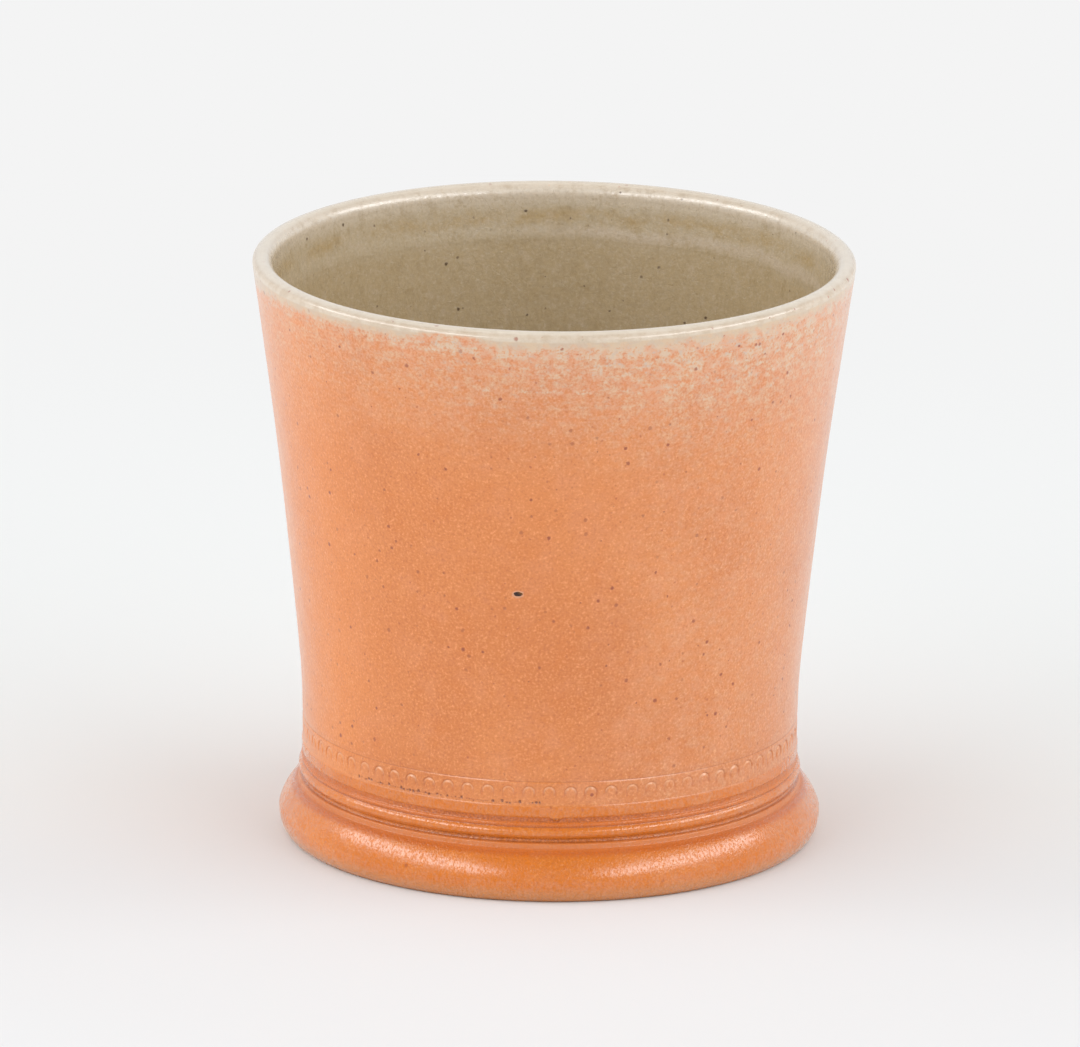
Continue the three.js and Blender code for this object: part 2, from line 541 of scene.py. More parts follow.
def arcade_tree():
    """Rolls a row of small arches into a turned band, and opens a row of pits under it."""
    wiring, given = new_tree(
        "rolled_arcade",
        "GeometryNodeTree",
        {
            "Band": GEOMETRY,
            "Arch Count": ARCH_COUNT,
            "Arch Radius": ARCH_RADIUS * MM,
            "Centre Height": ARCH_CENTRE_HEIGHT * MM,
            "Outer Width": ARCH_OUTER_WIDTH * MM,
            "Inner Width": ARCH_INNER_WIDTH * MM,
            "Arch Depth": ARCH_DEPTH * MM,
            "Pit Height": PIT_ROW_HEIGHT * MM,
            "Pit Spacing": PIT_SPACING * MM,
            "Pit Depth": PIT_DEPTH * MM,
            "Glaze": MATERIAL,
        },
        {"Piece": GEOMETRY},
    )
    height, angle, radius, outward = around_pot(wiring)
    tile = angle / FULL_TURN * given["Arch Count"]
    number = wiring.math("ROUND", tile)
    luck = luck_of(wiring, number)
    pitch = radius * FULL_TURN / given["Arch Count"]
    sideways = (tile - number) * pitch + slip(luck[0], 0.2 * MM)
    upward = height - given["Centre Height"] + slip(luck[1], 0.16 * MM)
    off_line = wiring.diagonal(sideways, wiring.larger(upward, 0.0)) - given["Arch Radius"]
    outer_side = off_line.ramp(given["Outer Width"], 0.0)
    inner_side = off_line.ramp(-given["Inner Width"], 0.0)
    drift = (outward * 1.6).noise(1.0, 0.0)
    pressed = luck[2].ramp(0.0, 1.0, 0.72, 1.0) * drift.ramp(0.32, 0.55, 0.65, 1.0)
    pressed = pressed * upward.ramp(-1.35 * MM, 0.1 * MM)
    line = outer_side * inner_side * pressed
    # The inner edge of each arch gets a painted highlight, stored on the mesh for the glaze's colour
    lit_side = inner_side * off_line.ramp(0.06 * MM, -0.12 * MM)
    painted_highlight_line = lit_side * pressed * upward.ramp(-0.5 * MM, 0.6 * MM)

    cell = angle * radius / given["Pit Spacing"]
    cell_number = wiring.math("ROUND", cell)
    pit_luck = luck_of(wiring, cell_number + 500.0)
    more_luck = luck_of(wiring, cell_number + 900.0)
    across = (cell - cell_number) * given["Pit Spacing"] + slip(pit_luck[0], 0.5 * MM)
    lift = height - given["Pit Height"] + slip(pit_luck[1], 0.35 * MM)
    ragged = wiring.give("GeometryNodeInputPosition").noise(0.2 * MM, 1.0)
    from_pit = wiring.diagonal(across, lift) + slip(ragged, 0.3 * MM)
    size = pit_luck[2].ramp(0.0, 1.0, 0.12 * MM, 0.33 * MM)
    turn = wiring.math("DEGREES", angle)
    past_first = wiring.math("GREATER_THAN", turn, PIT_FIRST_ANGLE)
    in_row = past_first * wiring.math("LESS_THAN", turn, PIT_LAST_ANGLE)
    open_here = wiring.math("LESS_THAN", more_luck[0], PIT_SHARE) * in_row
    pit = from_pit.ramp(size, size * 0.4) * open_here

    depth = (line * given["Arch Depth"] + pit * given["Pit Depth"]) * wiring.mark("front")
    marked = wiring.marked(given["Band"], {"groove": line, "lit": painted_highlight_line, "pit": pit})
    pressed_band = wiring.give("GeometryNodeSetPosition", {"Geometry": marked, "Offset": outward * -depth})
    return wiring.dressed(pressed_band, given["Glaze"])


def drip_tree():
    """Lets the band's lower edge hang down in one drop of glass."""
    wiring, given = new_tree(
        "glaze_drip",
        "GeometryNodeTree",
        {
            "Mouldings": GEOMETRY,
            "Edge Height": BAND_BOTTOM * MM,
            "Drop": DRIP_DROP * MM,
            "Width": DRIP_WIDTH * MM,
            "Angle": math.radians(DRIP_ANGLE),
            "Reach": 1.3 * MM,
            "Swell": 0.06 * MM,
            "Glaze": MATERIAL,
        },
        {"Piece": GEOMETRY},
    )
    height, angle, radius, outward = around_pot(wiring)
    beside = abs((angle - given["Angle"]) * radius).ramp(given["Width"] * 0.5, 0.0)
    close_by = abs(height - given["Edge Height"]).ramp(given["Reach"], 0.0)
    pull = beside * close_by * wiring.mark("front")
    shift = wiring.joined(0.0, 0.0, -(pull * given["Drop"])) + outward * (pull * given["Swell"])
    moved = wiring.give("GeometryNodeSetPosition", {"Geometry": given["Mouldings"], "Offset": shift})
    return wiring.dressed(moved, given["Glaze"])


def placed(name, data):
    """A new object in the scene."""
    made = bpy.data.objects.new(name, data)
    bpy.context.scene.collection.objects.link(made)
    return made


def set_input(modifier, label, value):
    """Sets a modifier's named input by its socket's identifier."""
    for item in modifier.node_group.interface.items_tree:
        if item.item_type == "SOCKET" and item.in_out == "INPUT" and item.name == label:
            modifier[item.identifier] = value
            return
    raise KeyError(label)


def turned_piece(name, line, marks, trees, glaze, nodes):
    """A turned piece: its marked profile goes through the trees, and comes out as one plain mesh."""
    profile = bpy.data.meshes.new(name)
    edges = [(i, i + 1) for i in range(len(line) - 1)]
    profile.from_pydata([(r * MM, 0, h * MM) for r, h in line], edges, [])
    for label, mark in zip(("front", "lining"), marks):
        values = profile.attributes.new(label, "FLOAT", "POINT").data
        for i in range(len(line)):
            values[i].value = mark(i)
    piece = placed(name, profile)
    for tree, values in trees:
        modifier = piece.modifiers.new(tree.name, "NODES")
        modifier.node_group = tree
        for label, value in {"Glaze": glaze, **values}.items():
            set_input(modifier, label, value)
    graph = bpy.context.evaluated_depsgraph_get()
    made = bpy.data.meshes.new_from_object(piece.evaluated_get(graph), depsgraph=graph)
    piece.modifiers.clear()
    piece.data = made
    made.name = name
    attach(piece, "root")
    if nodes:
        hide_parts(*nodes)


def paint(red, green, blue):
    """A colour, from its screen values of 0 to 255."""
    def linear(value):
        share = value / 255
        return share / 12.92 if share <= 0.04045 else ((share + 0.055) / 1.055) ** 2.4
    return (linear(red), linear(green), linear(blue), 1.0)


# Colours of the pot
ORANGE_WARM = paint(221, 131, 58)
ORANGE_DEEP = paint(209, 117, 41)
ORANGE_LIT = paint(244, 164, 98)
ORANGE_BLUSH = paint(222, 138, 82)
ORANGE_GLASSY = paint(214, 114, 12)
ORANGE_GOLD = paint(214, 118, 34)
ORANGE_BRIGHT = paint(242, 138, 30)
# Deep orange of pooled glaze, also used as painted shade in the arch grooves and in the corner above the roll
ORANGE_POOLED_AND_SHADE = paint(188, 84, 18)
RUST = paint(178, 78, 26)
IRON = paint(98, 34, 8)
IRON_BLACK = paint(34, 12, 4)
IRON_BROWN = paint(62, 28, 10)
IRON_OLIVE = paint(112, 74, 36)
SPECK_RED = paint(150, 58, 6)
SPECK_BROWN = paint(72, 48, 28)
VEIL_CREAM = paint(216, 186, 156)
VEIL_PINK = paint(219, 162, 126)
VEIL_GREY = paint(200, 180, 162)
CREAM = paint(216, 200, 180)
CREAM_GREY = paint(204, 184, 160)
CREAM_WARM = paint(212, 186, 154)
# Groove orange and brown: glaze colour in the hollows and creases, and also painted shade there; the brown
# also colours the pit row
GROOVE_ORANGE_AND_SHADE = paint(206, 104, 34)
GROOVE_BROWN_AND_SHADE = paint(138, 62, 20)
# Painted highlight on the arches' inner edges
ARCH_PAINTED_HIGHLIGHT = paint(252, 196, 146)
FILLET_PINK = paint(210, 126, 76)
# Tan of thin glaze at the foot, darkened also as painted shade on the roll's underside
FOOT_TAN_AND_SHADE = paint(202, 136, 82)
LINER_EDGE = paint(236, 226, 210)
LINER_PALE = paint(214, 200, 180)
LINER_UPPER = paint(188, 170, 140)
LINER_LOWER = paint(180, 159, 124)
# Liner streak colour, also painted shade under the throwing ring
LINER_STREAK_AND_SHADE = paint(156, 132, 92)
LINER_BROWN = paint(174, 144, 90)
# Lavender mottling of the liner, also a painted reflection above the throwing ring
LINER_LAVENDER_AND_REFLECTION = paint(200, 182, 160)
BUFF = paint(198, 178, 150)
BUFF_TOASTED = paint(200, 140, 92)
BUFF_GRAIN = paint(168, 140, 110)


def speck_group():
    """Round specks scattered through the clay, a chosen share of places filled."""
    inputs = {"Place": VECTOR, "Spacing": 5.0, "Share": 0.3, "Size": 0.4, "Softness": 0.5}
    wiring, given = new_tree("iron_specks", "ShaderNodeTree", inputs, {"Mask": FLOAT, "Chance": FLOAT})
    place, spacing, share, largest, softness = given.values()
    ragged = slip(place.noise(1 / 3, 2.0, output=1), 0.35)
    inputs = {"Vector": place + ragged, "Scale": 1.0 / spacing}
    cells = wiring.node("ShaderNodeTexVoronoi", inputs, feature="F1")
    red, green, blue = wiring.split(cells.outputs["Color"])
    filled = wiring.math("LESS_THAN", red, share)
    reach = largest * green.ramp(0.0, 1.0, 0.35, 1.0) / spacing
    round_mask = Signal(wiring, cells.outputs["Distance"]).ramp(reach, reach * (1.0 - softness))
    return wiring.hand_over(filled * round_mask, blue)


def peel_group():
    """The orange peel of salt glaze: small rounded grains with finer grit between."""
    inputs = {"Place": VECTOR, "Grain": 0.45}
    wiring, given = new_tree("orange_peel", "ShaderNodeTree", inputs, {"Relief": FLOAT})
    place, size = given.values()
    inputs = {"Vector": place, "Scale": 1.0 / size, "Smoothness": 0.6}
    lumps = wiring.give("ShaderNodeTexVoronoi", inputs, "Distance", feature="SMOOTH_F1")
    inputs = {"Vector": place, "Scale": 1.6 / size, "Detail": 3.0, "Roughness": 0.6}
    grit = wiring.give("ShaderNodeTexNoise", inputs)
    return wiring.hand_over((1.0 - lumps) * 0.6 + grit * 0.5)


def zone_group():
    """A soft-edged zone between two levels, such as a groove between two heights."""
    inputs = {"Level": 0.0, "Bottom": 0.0, "Top": 0.0, "Softness": 0.2}
    wiring, given = new_tree("height_zone", "ShaderNodeTree", inputs, {"Mask": FLOAT})
    level, bottom, top, softness = given.values()
    rise = level.ramp(bottom - softness, bottom + softness)
    return wiring.hand_over(rise * level.ramp(top + softness, top - softness))


def place_group():
    """Where a point of the pot lies: its place in millimetres, height, and angle from the front."""
    outputs = {"Place": VECTOR, "Height": FLOAT, "Angle": FLOAT, "Radius": FLOAT}
    wiring, given = new_tree("pot_place", "ShaderNodeTree", {"Object": VECTOR}, outputs)
    place = given["Object"] * (1 / MM)
    x, y, z = wiring.split(place)
    angle = wiring.math("DEGREES", wiring.math("ARCTAN2", x, -y))
    return wiring.hand_over(place, z, angle, wiring.diagonal(x, y))


def crazing_group():
    """Fine crackle lines in glass that has shrunk more than its clay."""
    inputs = {"Place": VECTOR, "Cell": 5.0, "Line": 0.03}
    wiring, given = new_tree("crazing", "ShaderNodeTree", inputs, {"Mask": FLOAT})
    place, cell, line = given.values()
    bent = slip(place.noise(4.0, 3.0, output=1), 3.0)
    inputs = {"Vector": place + bent, "Scale": 1.0 / cell}
    to_edge = wiring.give("ShaderNodeTexVoronoi", inputs, "Distance", feature="DISTANCE_TO_EDGE")
    return wiring.hand_over(to_edge.ramp(line, 0.0))


PEEL = peel_group()
SPECKS = speck_group()
ZONE = zone_group()
PLACE = place_group()
CRAZING = crazing_group()


def zone(wiring, level, bottom, top, softness):
    return wiring.group(ZONE, Level=level, Bottom=bottom, Top=top, Softness=softness)


def specks(wiring, place, spacing, share, size, softness):
    """How much of a speck shows at a place, and one chance number for each speck."""
    return wiring.group(SPECKS, Place=place, Spacing=spacing, Share=share, Size=size, Softness=softness)


def skin_group():
    """The outside skin: orange slip under salt glaze, with a pale veil that thickens to the lip."""
    inputs = {"Place": VECTOR, "Height": 0.0, "Angle": 0.0, "Veil From": 68.0, "Cream From": 93.7}
    wiring, given = new_tree("salt_glaze_skin", "ShaderNodeTree", inputs, {"Color": COLOUR, "Relief": FLOAT})
    place, height, angle, veil_from, cream_from = given.values()
    grain = place.noise(0.42, 3.0, 0.6)
    lying = place * (1.0, 1.0, 1.6)
    clump = lying.noise(1.5, 3.0, 0.55)

    near_front = abs(angle + 30.0).ramp(62.0, 20.0)
    mid_height = abs(height - 50.0).ramp(38.0, 12.0)
    far_left = angle.ramp(-36.0, -60.0) * angle.ramp(-130.0, -90.0, 0.0, 0.42)
    orange = wiring.layered(
        ORANGE_WARM,
        (place.noise(26.0, 3.0).ramp(0.3, 0.7), ORANGE_DEEP),
        (place.noise(6.0, 4.0, 0.6).ramp(0.46, 0.7, 0.0, 0.6), ORANGE_BLUSH),
        (place.noise(4.2, 4.0, 0.6).ramp(0.55, 0.3, 0.0, 0.35), ORANGE_GLASSY),
        (near_front * mid_height * 0.3, ORANGE_GOLD),
        (far_left, ORANGE_BRIGHT),
        (grain.ramp(0.5, 0.78, 0.0, 0.8), ORANGE_LIT),
        (grain.ramp(0.5, 0.25, 0.0, 0.42), RUST),
    )

    share_round = abs(angle - 28.0).ramp(80.0, 10.0, 0.55, 1.15)
    climb = wiring.give("ShaderNodeMapRange", {"Value": height, "From Min": veil_from, "From Max": 94.0})
    climb = wiring.math("POWER", climb, 1.7) * 0.62
    rings = wiring.joined(0.0, 0.0, height).noise(1.1, 2.0).ramp(0.3, 0.7, 0.75, 1.25)
    veil = (climb + height.ramp(90.8, 94.8, 0.0, 0.36)) * share_round * rings
    streak_break = place.noise(2.6, 3.0).ramp(0.4, 0.62)
    streak = zone(wiring, height, 86.45, 86.95, 0.28) * streak_break
    streak = streak * share_round.ramp(0.7, 1.1, 0.05, 0.6)
    side_veil = angle.ramp(0.0, 36.0, 0.0, 0.13) * angle.ramp(130.0, 90.0)
    texture = (grain * 0.55 + clump * 0.45).ramp(0.35, 0.65, 0.3, 1.75)
    veil = (veil + streak + side_veil) * texture
    hue = place.noise(2.2, 4.0, 0.65)
    greyness = lying.noise(1.3, 3.0, 0.6).ramp(0.5, 0.7, 0.0, 0.7)
    veil_colour = wiring.layered(VEIL_PINK, (hue.ramp(0.4, 0.6), VEIL_CREAM), (greyness, VEIL_GREY))

    from_gap = abs(angle + 20.0)
    edge_shift = from_gap.ramp(10.0, 3.0, -0.2, 1.4) - angle.ramp(-62.0, -84.0, 0.0, 1.3)
    level = height + slip(place.noise(1.5, 4.0, 0.65), 3.2) - edge_shift
    cream = level.ramp(cream_from, cream_from + 1.5)
    cream_colour = wiring.blend(clump.ramp(0.38, 0.62), CREAM_GREY, CREAM_WARM)
    crest_from = from_gap.ramp(10.0, 3.0, BEAKER_HEIGHT - 1.7, BEAKER_HEIGHT - 1.25)
    crest = height.ramp(crest_from, crest_from + 0.4)
    lip_colour = wiring.blend(hue.ramp(0.34, 0.62), CREAM_GREY, CREAM)

    granules = specks(wiring, place, 1.3, 0.3, 0.2, 0.7)[0]
    faint = specks(wiring, place, 1.9, 0.62, 0.32, 0.8)[0]
    bold, chance = specks(wiring, place, 2.2, 0.8, 0.46, 0.6)
    colour = wiring.layered(
        orange,
        (veil, veil_colour),
        (cream * 0.9, cream_colour),
        (crest, lip_colour),
        (granules * 0.45, ORANGE_LIT),
        (faint * 0.7, RUST),
        (bold * chance.ramp(0.0, 1.0, 0.35, 0.95), SPECK_RED),
    )
    return wiring.hand_over(colour, wiring.group(PEEL, Place=place, Grain=0.42) + granules * 0.35)


SKIN = skin_group()


def spot_place(angle, height, lift=0.0):
    """A place on the plain wall, from its angle from the front and its height."""
    turn = math.radians(angle)
    radius = wall_radius(height) + lift
    return (radius * math.sin(turn), -radius * math.cos(turn), height)


def new_material(name):
    """An empty material with its wiring and its shader."""
    material = bpy.data.materials.new(name)
    material.use_nodes = True
    return material, Wiring(material.node_tree), material.node_tree.nodes["Principled BSDF"]


def pot_places(wiring):
    """The point's place, height, angle and radius on the pot, for any of the pot's materials."""
    return wiring.group(PLACE, Object=wiring.give("ShaderNodeTexCoord", None, "Object"))


def set_surface(wiring, shader, colour, roughness, relief, depth):
    """A shader's colour and roughness, and relief too fine for the mesh, its depth in metres."""
    wiring.feed(shader.inputs["Base Color"], colour)
    wiring.feed(shader.inputs["Roughness"], roughness)
    made = wiring.give("ShaderNodeBump", {"Height": relief, "Distance": depth, "Strength": 1.0})
    wiring.feed(shader.inputs["Normal"], made)


def set_glass(wiring, shader, coat_weight):
    """The clear glass over a glaze's own surface: only how much of it there is can change by place."""
    shader.inputs["IOR"].default_value = 1.5
    shader.inputs["Specular IOR Level"].default_value = 0.4
    shader.inputs["Coat Roughness"].default_value = COAT_ROUGHNESS
    shader.inputs["Coat IOR"].default_value = 1.75
    wiring.feed(shader.inputs["Coat Weight"], coat_weight)


def salt_glaze_material():
    """The outside: satin on the wall, glassier and browner in the mouldings. The brown there is partly
    painted shade in hollows and creases, and the arches carry a painted highlight.
    """
    material, wiring, shader = new_material("salt_glaze")
    place, height, angle, _ = pot_places(wiring)
    skin_colour, skin_relief = wiring.group(SKIN, Place=place, Height=height, Angle=angle)
    grit = place.noise(0.3, 2.0, 0.6)
    patch = place.noise(5.0, 3.0)

    def band(bottom, top, softness=0.15):
        return zone(wiring, height, bottom, top, softness)

    foot = height.ramp(BAND_TOP + 0.1, BAND_TOP - 0.4)
    pooled = foot * patch.ramp(0.36, 0.62, 0.45, 0.92) * 0.95
    drip_side = (angle - DRIP_ANGLE) * math.radians(wall_radius(BAND_BOTTOM))
    drip = abs(drip_side).ramp(DRIP_WIDTH / 2, 0.0)
    glass_level = height + slip(place.noise(1.4, 3.0), 0.4) + drip * DRIP_DROP
    # The groove and the ridge get a deeper orange: partly glaze, partly painted shade, with less of it at the
    # right where more light falls
    groove_zone = zone(wiring, glass_level, RIDGE_HEIGHT - 0.5, GROOVE_TOP + 0.03, 0.1)
    shade_less_at_right = angle.ramp(30.0, 66.0, 0.5, 0.1)
    granular = grit.ramp(0.62, 0.4, 0.1, 1.0)
    # The hollows in the groove and under the bead are painted brown: partly granular glaze, partly painted
    # shade, stronger toward the front
    hollow = wiring.larger(band(GROOVE_BOTTOM, GROOVE_TOP + 0.02, 0.12), band(FILLET_TOP, BEAD_HEIGHT - 0.75))
    toward_front = abs(angle + 6.0).ramp(42.0, 14.0, 0.28, 0.56)
    # Thin brown lines at the fillet's top, under the ridge and along the incised line: painted shade in these
    # creases
    fillet_crease = band(FILLET_TOP - 0.02, FILLET_TOP + 0.16, 0.08)
    ridge_crease = band(RIDGE_HEIGHT - 0.5, RIDGE_HEIGHT - 0.3, 0.08)
    incised = band(INCISED_HEIGHT - 0.06, INCISED_HEIGHT + 0.06, 0.1)
    crease_shade = wiring.larger(wiring.larger(fillet_crease, ridge_crease), incised * 0.8)
    fillet = band(ROLL_TOP - 0.2, FILLET_TOP - 0.05, 0.3)
    pit_line = band(PIT_ROW_HEIGHT - 0.08, PIT_ROW_HEIGHT + 0.06, 0.12) * grit.ramp(0.4, 0.6)
    pit_line = pit_line * angle.ramp(PIT_FIRST_ANGLE - 4.0, PIT_FIRST_ANGLE + 6.0)
    pit_line = pit_line * angle.ramp(PIT_LAST_ANGLE + 6.0, PIT_LAST_ANGLE - 6.0)
    wander = slip(place.noise(0.5, 2.0, output=1), 0.5)
    from_spot = (place - spot_place(SPOT_ANGLE, SPOT_HEIGHT) + wander) * (1 / 0.86, 1 / 1.6, 1 / 0.6)
    colour = wiring.layered(
        skin_colour,
        (pooled, ORANGE_GLASSY),
        (groove_zone * shade_less_at_right, GROOVE_ORANGE_AND_SHADE),
        # Granular glaze and painted shade in the hollows
        (hollow * granular * toward_front, GROOVE_BROWN_AND_SHADE),
        # Painted shade along the creases
        (crease_shade * 0.45, GROOVE_BROWN_AND_SHADE),
        (fillet * grit.ramp(0.35, 0.6, 0.3, 0.8), FILLET_PINK),
        # Darker in the corner above the roll: pooled glaze, and painted shade in the corner
        (band(7.5, 8.3, 0.5) * 0.6, ORANGE_POOLED_AND_SHADE),
        # Tan of thin glaze toward the floor, also painted shade on the roll's underside
        (height.ramp(3.2, 1.0) * 0.65, FOOT_TAN_AND_SHADE),
        # Pooled glaze in the arch grooves, also painted shade
        (wiring.mark("groove") * 0.52, ORANGE_POOLED_AND_SHADE),
        # Painted highlight on the arches' inner edges
        (wiring.mark("lit") * 0.95, ARCH_PAINTED_HIGHLIGHT),
        (pit_line * 0.5, GROOVE_BROWN_AND_SHADE),
        (wiring.mark("pit") * 0.7, IRON),
        (wiring.reach(from_spot).ramp(1.25, 0.95, 0.0, 0.6), VEIL_PINK),
    )

    dull = wiring.larger(fillet, groove_zone * granular)
    wall_gloss = place.noise(3.0, 3.0).ramp(0.35, 0.65, 0.38, 0.48)
    gloss = wiring.between(foot, wall_gloss, patch.ramp(0.35, 0.65, 0.15, 0.26)) + dull * 0.2
    sparkle = (place * (1.0, 1.0, 0.4)).noise(0.36, 3.0, 0.65)
    sparkle = sparkle.ramp(0.42, 0.55, 0.15, FOOT_COAT)
    coat = wiring.between(foot, WALL_COAT, sparkle)
    set_glass(wiring, shader, coat * dull.ramp(0.0, 1.0, 1.0, 0.5))
    ripple = (place * (1.0, 1.0, 0.55)).noise(0.34, 2.0, 0.55)
    relief = skin_relief * foot.ramp(0.0, 1.0, 1.0, 1.4) + hollow * grit * 1.2 + foot * ripple * 1.1
    set_surface(wiring, shader, colour, gloss, relief, 0.07 * MM)
    return material


def liner_material():
    """The liner glaze: grey-green glass inside, thin and cream where it turns over the lip. Under the
    throwing ring inside is painted shade, and the pale band above it is partly painted reflection.
    """
    material, wiring, shader = new_material("liner_glaze")
    place, height, angle, _ = pot_places(wiring)
    skin_colour, skin_relief = wiring.group(SKIN, Place=place, Height=height, Angle=angle)
    lining = wiring.mark("lining")
    streak = (place * (1.0, 1.0, 0.22)).noise(0.8, 3.0, 0.6)
    grain = place.noise(0.5, 3.0, 0.65)
    mottle = place.noise(2.2, 4.0, 0.65)
    level = height + slip(place.noise(9.0, 2.0), 3.0)
    reflection_to_right = wiring.split(place)[0].ramp(-14.0, 10.0, 0.0, 0.55)
    brown_break = (place * (1.0, 1.0, 2.0)).noise(7.0, 4.0, 0.6).ramp(0.38, 0.64)
    crackle = wiring.group(CRAZING, Place=place, Cell=6.5, Line=0.01)
    crackle_fade = place.noise(11.0, 2.0).ramp(0.42, 0.62)
    inside = wiring.layered(
        LINER_LOWER,
        (level.ramp(85.8, 88.8), LINER_UPPER),
        # Above the throwing ring, stronger toward the right: partly the glaze's tone, partly painted
        # reflection
        (zone(wiring, level, 88.0, 89.8, 0.8) * reflection_to_right, LINER_LAVENDER_AND_REFLECTION),
        (height.ramp(92.0, 95.6), LINER_PALE),
        (height.ramp(94.9, 95.8), LINER_EDGE),
        (zone(wiring, level, 90.3, 92.4, 1.2) * brown_break * 0.6, LINER_BROWN),
        (mottle.ramp(0.52, 0.7, 0.0, 0.3), LINER_LAVENDER_AND_REFLECTION),
        (mottle.ramp(0.48, 0.3, 0.0, 0.35), LINER_STREAK_AND_SHADE),
        (streak.ramp(0.52, 0.75, 0.0, 0.28), LINER_STREAK_AND_SHADE),
        (grain.ramp(0.5, 0.75, 0.0, 0.3), LINER_PALE),
        (grain.ramp(0.5, 0.25, 0.0, 0.3), LINER_STREAK_AND_SHADE),
        # Painted shade under the throwing ring
        (zone(wiring, height, 87.3, 87.5, 0.25) * 0.2, LINER_STREAK_AND_SHADE),
        (crackle * crackle_fade * 0.3, LINER_STREAK_AND_SHADE),
        (specks(wiring, place * (1.0, 1.0, 0.2), 3.0, 0.25, 0.26, 0.8)[0] * 0.3, LINER_BROWN),
        (specks(wiring, place, 2.3, 0.5, 0.34, 0.7)[0] * 0.65, SPECK_BROWN),
        (specks(wiring, place, 2.7, 0.5, 0.42, 0.6)[0] * 0.9, SPECK_BROWN),
    )
    colour = wiring.layered(
        skin_colour,
        (specks(wiring, place, 2.3, 0.4, 0.26, 0.7)[0] * 0.5, SPECK_BROWN),
        (lining, inside),
        (height.ramp(BEAKER_HEIGHT - 0.5, BEAKER_HEIGHT - 0.1, 0.0, 0.6), LINER_EDGE),
    )

    inner_gloss = place.noise(2.4, 3.0).ramp(0.35, 0.65, 0.14, 0.24)
    outer_gloss = place.noise(3.0, 3.0).ramp(0.35, 0.65, 0.38, 0.48)
    broken = place.noise(1.2, 4.0, 0.65).ramp(0.44, 0.56, 0.1, 1.0)
    lip_gloss = height.ramp(BEAKER_HEIGHT - 1.0, BEAKER_HEIGHT - 0.4)
    set_glass(wiring, shader, wiring.larger(wiring.between(lining, WALL_COAT, broken), lip_gloss))
    inner_relief = place.noise(0.9, 4.0, 0.65) * 1.6 - crackle * 0.2
    relief = wiring.between(lining, skin_relief, inner_relief)
    set_surface(wiring, shader, colour, wiring.between(lining, outer_gloss, inner_gloss), relief, 0.07 * MM)
    return material


def iron_spot_material():
    """Melted iron: near-black brown glass with an olive shoulder."""
    material, wiring, shader = new_material("iron_spot")
    place = pot_places(wiring)[0]
    x, _, z = wiring.split(place - spot_place(SPOT_ANGLE, SPOT_HEIGHT))
    shoulder = (x * 0.7 + z).ramp(0.05, 0.5)
    mottle = place.noise(0.3, 3.0).ramp(0.35, 0.65)
    colour = wiring.layered(IRON_BLACK, (mottle, IRON_BROWN), (shoulder * 0.8, IRON_OLIVE))
    gloss = mottle.ramp(0.0, 1.0, 0.25, 0.4)
    set_surface(wiring, shader, colour, gloss, place.noise(0.25, 2.0), 0.05 * MM)
    return material


def stoneware_material():
    """The bare clay: dry buff stoneware, toasted by the fire, with iron specks and turning lines."""
    material, wiring, shader = new_material("bare_stoneware")
    place, _, _, radius = pot_places(wiring)
    grain = place.noise(0.5, 4.0, 0.7).ramp(0.35, 0.7)
    colour = wiring.layered(
        BUFF,
        (place.noise(17.0, 5.0, 0.6).ramp(0.28, 0.72, 0.1, 0.75), BUFF_TOASTED),
        (grain * 0.3, BUFF_GRAIN),
        (radius.ramp(STANDING_RADIUS - 1.2, STANDING_RADIUS + 0.2) * 0.9, FOOT_TAN_AND_SHADE),
        (specks(wiring, place, 3.2, 0.35, 0.4, 0.5)[0] * 0.75, IRON),
    )
    rings = wiring.joined(radius, 0.0, 0.0).noise(1 / 1.1, 4.0, 0.7)
    relief = rings * 1.2 + place.noise(0.3, 3.0, 0.7) * 0.7
    set_surface(wiring, shader, colour, 0.82, relief, 0.12 * MM)
    return material


SALT_GLAZE = salt_glaze_material()
LINER_GLAZE = liner_material()
BARE_STONEWARE = stoneware_material()
IRON_SPOT = iron_spot_material()
TURNING = turning_tree()
ARCADE = arcade_tree()
DRIP = drip_tree()


def glaze_ring(name, front, keep_every, trees, nodes):
    """A ring of salt glaze: its finished front, closed by a plain back that no one sees."""
    line = front + thinned(inset(front, GLASS_DEPTH), keep_every)[::-1] + front[:1]
    marks = (lambda i: float(i < len(front)), lambda i: 0.0)
    turned_piece(name, line, marks, trees, SALT_GLAZE, nodes)


def waves(depth, height, bottom):
    """The turning tree's inputs for the soft waves that fingers leave round a wall, in millimetres."""
    sizes = {"Wave Depth": depth, "Wave Height": height, "Wave Bottom": bottom, "Wave Top": WAVE_TOP}
    return {"Turn Steps": TURN_STEPS, **{label: size * MM for label, size in sizes.items()}}


def coat_pieces():
    """The salt glaze in three rings, parted where the incised line and the band's edge are."""
    wall = outside(INCISED_HEIGHT, SEAM_HEIGHT, WALL_SPACING)
    turning = (TURNING, waves(WALL_WAVE_DEPTH, 5.0, 21.0))
    glaze_ring("salt_glazed_wall", wall, 4, [turning], ["salt_glaze_coat"])
    rows = outside(BAND_TOP, ARCHES_BOTTOM, 0.11)[:-1]
    rows += outside(ARCHES_BOTTOM, ARCHES_TOP, 0.1)[:-1]
    rows += outside(ARCHES_TOP, INCISED_HEIGHT, 0.11)
    turning = (TURNING, {"Turn Steps": ARCADE_TURN_STEPS})
    glaze_ring("arch_band", rows, 12, [turning, (ARCADE, {})], [])
    roll = [place for place in roll_line() if place[1] > COAT_FOOT_CLEARANCE]
    line = softened(roll + outside(ROLL_TOP, BAND_TOP, 0.06)[1:], 0.13, 0.135)
    turning = (TURNING, {"Turn Steps": FOOT_TURN_STEPS})
    glaze_ring("foot_mouldings", line, 4, [turning, (DRIP, {})], [])


